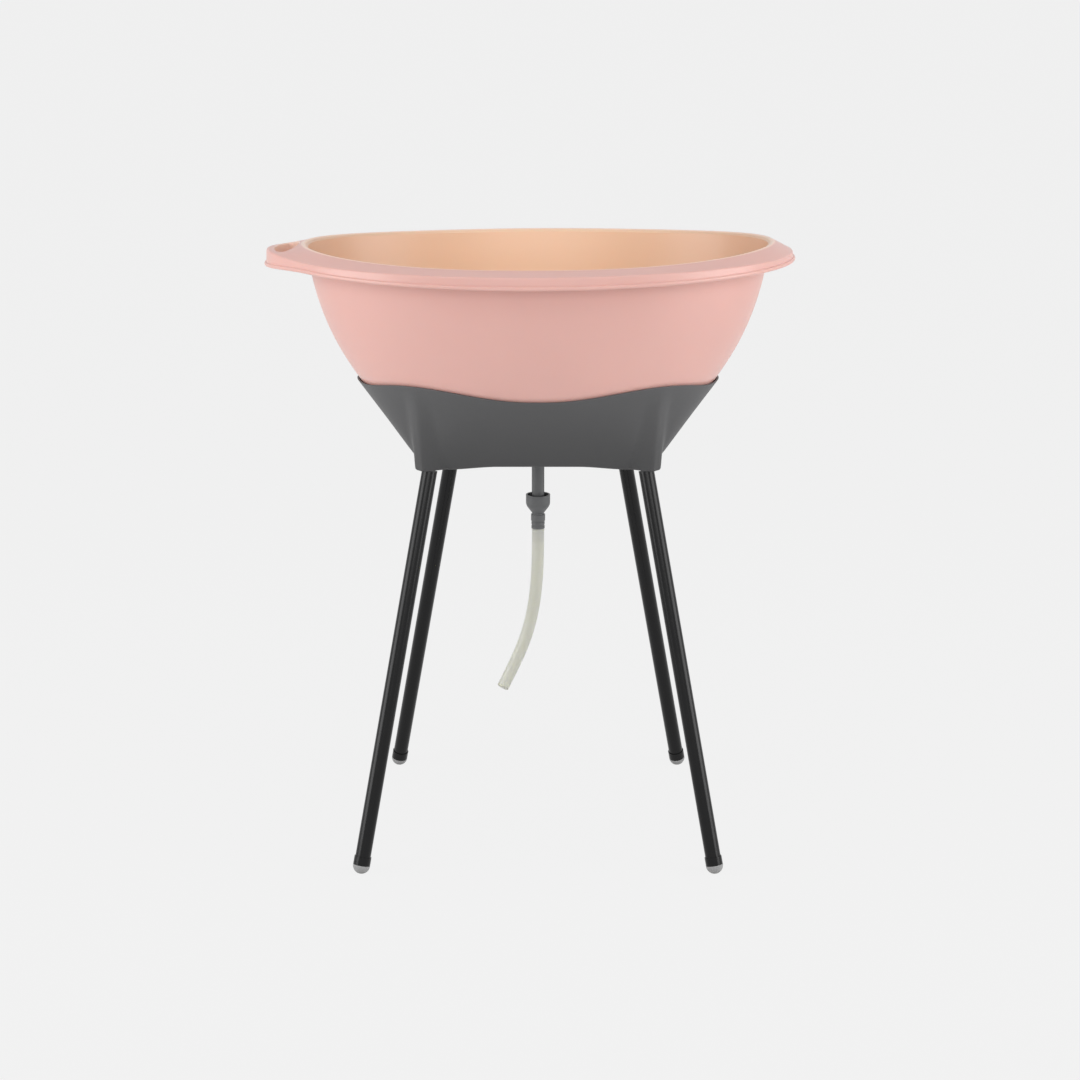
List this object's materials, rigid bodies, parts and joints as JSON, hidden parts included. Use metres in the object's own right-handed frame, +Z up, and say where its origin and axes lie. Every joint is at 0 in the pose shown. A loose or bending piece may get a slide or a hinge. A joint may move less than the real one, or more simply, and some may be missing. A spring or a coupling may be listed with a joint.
{
  "type": "baby bath with stand",
  "caption": "Oval baby bath with a sloping rim and a soap tray, seated in a wrap-around cradle on splayed fold-up tube legs, with a plugged floor drain and a push-on hose.",
  "frame": {"origin": "on the floor, under the middle of the object's box without the hose", "axes": "+X along the bath towards the end without the soap tray, +Y to the back, +Z up"},
  "size_m": [0.8232, 0.5442, 0.9517],
  "materials": {
    "bath_plastic": "semi-gloss rose moulded plastic",
    "cradle_plastic": "satin dark grey moulded plastic",
    "leg_paint": "gloss black coated steel tube",
    "knuckle_plastic": "black moulded plastic",
    "foot_plastic": "grey soft plastic",
    "pin_steel": "plain steel",
    "pad_rubber": "matt black rubber",
    "drain_plastic": "satin dark grey plastic",
    "plug_rubber": "matt grey rubber",
    "seal_rubber": "matt black rubber",
    "connector_plastic": "satin dark grey plastic",
    "hose_plastic": "milky see-through soft plastic"
  },
  "bodies": {
    "cradle": {"cradle_shell": "cradle_plastic", "hinge_pins": "pin_steel", "rest_pads": "pad_rubber"},
    "bath": {"bath_tub": "bath_plastic", "drain_outlet": "drain_plastic", "drain_gasket": "seal_rubber", "drain_locknut": "drain_plastic"},
    "plug": {"drain_plug": "plug_rubber"},
    "hose": {"hose_connector": "connector_plastic", "connector_seal": "seal_rubber", "drain_hose": "hose_plastic"},
    "leg_front_left": {"leg_tube_front_left": "leg_paint", "leg_knuckle_front_left": "knuckle_plastic", "foot_cap_front_left": "foot_plastic"},
    "leg_front_right": {"leg_tube_front_right": "leg_paint", "leg_knuckle_front_right": "knuckle_plastic", "foot_cap_front_right": "foot_plastic"},
    "leg_rear_left": {"leg_tube_rear_left": "leg_paint", "leg_knuckle_rear_left": "knuckle_plastic", "foot_cap_rear_left": "foot_plastic"},
    "leg_rear_right": {"leg_tube_rear_right": "leg_paint", "leg_knuckle_rear_right": "knuckle_plastic", "foot_cap_rear_right": "foot_plastic"}
  },
  "joints": [
    {"name": "bath_lift", "type": "slide", "parent": "cradle", "child": "bath", "axis": [0, 0, 1], "range_m": [0, 0.3]},
    {"name": "plug_lift", "type": "slide", "parent": "bath", "child": "plug", "axis": [0, 0, 1], "range_m": [0, 0.1]},
    {"name": "hose_pull_off", "type": "slide", "parent": "bath", "child": "hose", "axis": [0, 0, -1], "range_m": [0, 0.03]},
    {"name": "front_left_fold", "type": "hinge", "parent": "cradle", "child": "leg_front_left", "pos_m": [-0.1504, -0.112, 0.63], "axis": [1, 0, 0], "range_deg": [0, 90]},
    {"name": "front_right_fold", "type": "hinge", "parent": "cradle", "child": "leg_front_right", "pos_m": [0.1764, -0.112, 0.63], "axis": [1, 0, 0], "range_deg": [0, 90]},
    {"name": "rear_left_fold", "type": "hinge", "parent": "cradle", "child": "leg_rear_left", "pos_m": [-0.1189, 0.102, 0.63], "axis": [-0.9763, -0.2164, 0], "range_deg": [0, 90]},
    {"name": "rear_right_fold", "type": "hinge", "parent": "cradle", "child": "leg_rear_right", "pos_m": [0.1449, 0.102, 0.63], "axis": [-0.9763, 0.2164, 0], "range_deg": [0, 90]}
  ]
}
